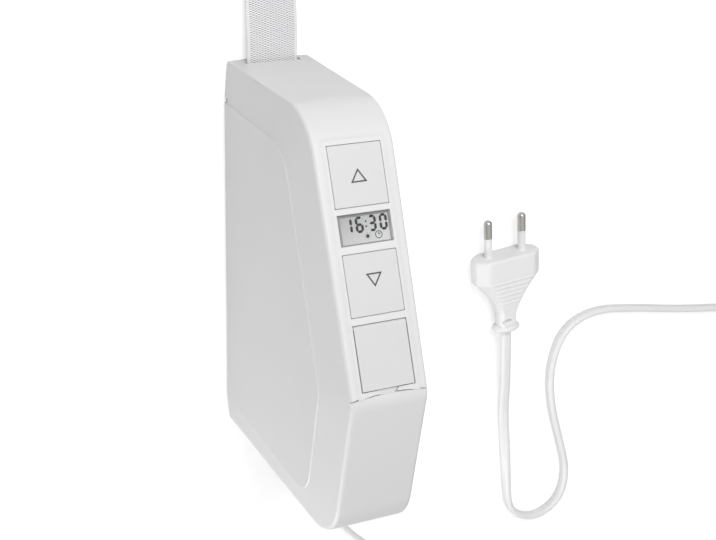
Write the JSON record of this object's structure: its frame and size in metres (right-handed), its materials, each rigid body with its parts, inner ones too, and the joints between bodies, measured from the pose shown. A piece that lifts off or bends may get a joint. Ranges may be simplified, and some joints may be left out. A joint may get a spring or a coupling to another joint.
{
  "type": "electric roller shutter belt winder",
  "caption": "Slim surface-mounted electric belt winder for a roller shutter: it swings on a wall bracket, with up and down keys, a time display, a service flap and a mains lead.",
  "frame": {"origin": "centre of the wall bracket's two screw holes, on the wall face", "axes": "+X to the right as seen from the front, +Y up the wall towards the belt, +Z out of the wall"},
  "size_m": [0.3764, 0.3839, 0.1198],
  "materials": {
    "housing_white": "satin moulded ABS",
    "key_white": "satin moulded ABS",
    "clear_lens": "clear polished window",
    "display_grey": "reflective liquid crystal cell",
    "zinc_steel": "zinc-plated sheet steel",
    "motor_steel": "drawn steel can",
    "gear_plastic": "natural acetal",
    "dark_plastic": "moulded glass-filled nylon",
    "board_green": "solder-masked laminate",
    "belt_grey": "woven polyester webbing",
    "lead_white": "soft extruded PVC",
    "plug_white": "moulded PVC",
    "pin_nickel": "nickel-plated brass",
    "tie_white": "moulded nylon strap"
  },
  "bodies": {
    "bracket": {"wall_bracket": "zinc_steel", "hinge_pin": "zinc_steel", "cord_lead": "lead_white", "cord_coil": "lead_white", "cord_run": "lead_white", "coil_tie": "tie_white", "plug_body": "plug_white", "plug_pins": "pin_nickel", "plug_sleeves": "plug_white"},
    "housing": {"housing_hood": "housing_white", "rear_cover": "housing_white", "case_screws": "zinc_steel", "front_panel": "housing_white", "display_lens": "clear_lens", "display_cell": "display_grey", "display_holder": "dark_plastic", "control_board": "board_green", "key_switches": "dark_plastic", "mains_board": "board_green", "mains_parts": "dark_plastic", "reel_axle": "zinc_steel", "belt_free": "belt_grey", "gearbox": "dark_plastic", "drive_motor": "motor_steel", "roller_axle": "zinc_steel", "inlet_liner": "housing_white", "cable_gland": "lead_white"},
    "up_key": {"up_key": "key_white"},
    "down_key": {"down_key": "key_white"},
    "flap": {"service_flap": "key_white"},
    "reel": {"reel_core": "gear_plastic", "reel_gear": "gear_plastic", "belt_winding": "belt_grey"},
    "pinion": {"drive_pinion": "gear_plastic"},
    "roller": {"guide_roller": "gear_plastic"},
    "setting_key_1": {"setting_key_1": "key_white"},
    "setting_key_2": {"setting_key_2": "key_white"},
    "setting_key_3": {"setting_key_3": "key_white"},
    "setting_key_4": {"setting_key_4": "key_white"}
  },
  "joints": [
    {"name": "swing", "type": "hinge", "parent": "bracket", "child": "housing", "pos_m": [-0.0173, 0, 0.0035], "axis": [0, -1, 0], "range_deg": [0, 90]},
    {"name": "up_press", "type": "slide", "parent": "housing", "child": "up_key", "axis": [0, -0.3897, -0.9209], "range_m": [0, 0.0007], "stiffness_N_per_m": 1500},
    {"name": "down_press", "type": "slide", "parent": "housing", "child": "down_key", "axis": [0, -0.3897, -0.9209], "range_m": [0, 0.0007], "stiffness_N_per_m": 1500},
    {"name": "flap_open", "type": "hinge", "parent": "housing", "child": "flap", "pos_m": [0, 0.00585, 0.10822], "axis": [-1, 0, 0], "range_deg": [0, 100]},
    {"name": "reel_spin", "type": "hinge", "parent": "housing", "child": "reel", "pos_m": [0, -0.0326, 0.052], "axis": [1, 0, 0], "continuous": true},
    {"name": "pinion_spin", "type": "hinge", "parent": "housing", "child": "pinion", "pos_m": [0, 0.01294, 0.0642], "axis": [1, 0, 0], "continuous": true},
    {"name": "roller_spin", "type": "hinge", "parent": "housing", "child": "roller", "pos_m": [0, 0.0726, 0.0099], "axis": [1, 0, 0], "continuous": true},
    {"name": "set_press_1", "type": "slide", "parent": "housing", "child": "setting_key_1", "axis": [0, -0.3897, -0.9209], "range_m": [0, 0.0005], "stiffness_N_per_m": 1000},
    {"name": "set_press_2", "type": "slide", "parent": "housing", "child": "setting_key_2", "axis": [0, -0.3897, -0.9209], "range_m": [0, 0.0005], "stiffness_N_per_m": 1000},
    {"name": "set_press_3", "type": "slide", "parent": "housing", "child": "setting_key_3", "axis": [0, -0.3897, -0.9209], "range_m": [0, 0.0005], "stiffness_N_per_m": 1000},
    {"name": "set_press_4", "type": "slide", "parent": "housing", "child": "setting_key_4", "axis": [0, -0.3897, -0.9209], "range_m": [0, 0.0005], "stiffness_N_per_m": 1000}
  ],
  "couplings": [
    {"joint": "pinion_spin", "follows": "reel_spin", "ratio": -5},
    {"joint": "roller_spin", "follows": "reel_spin", "ratio": 6.8}
  ]
}
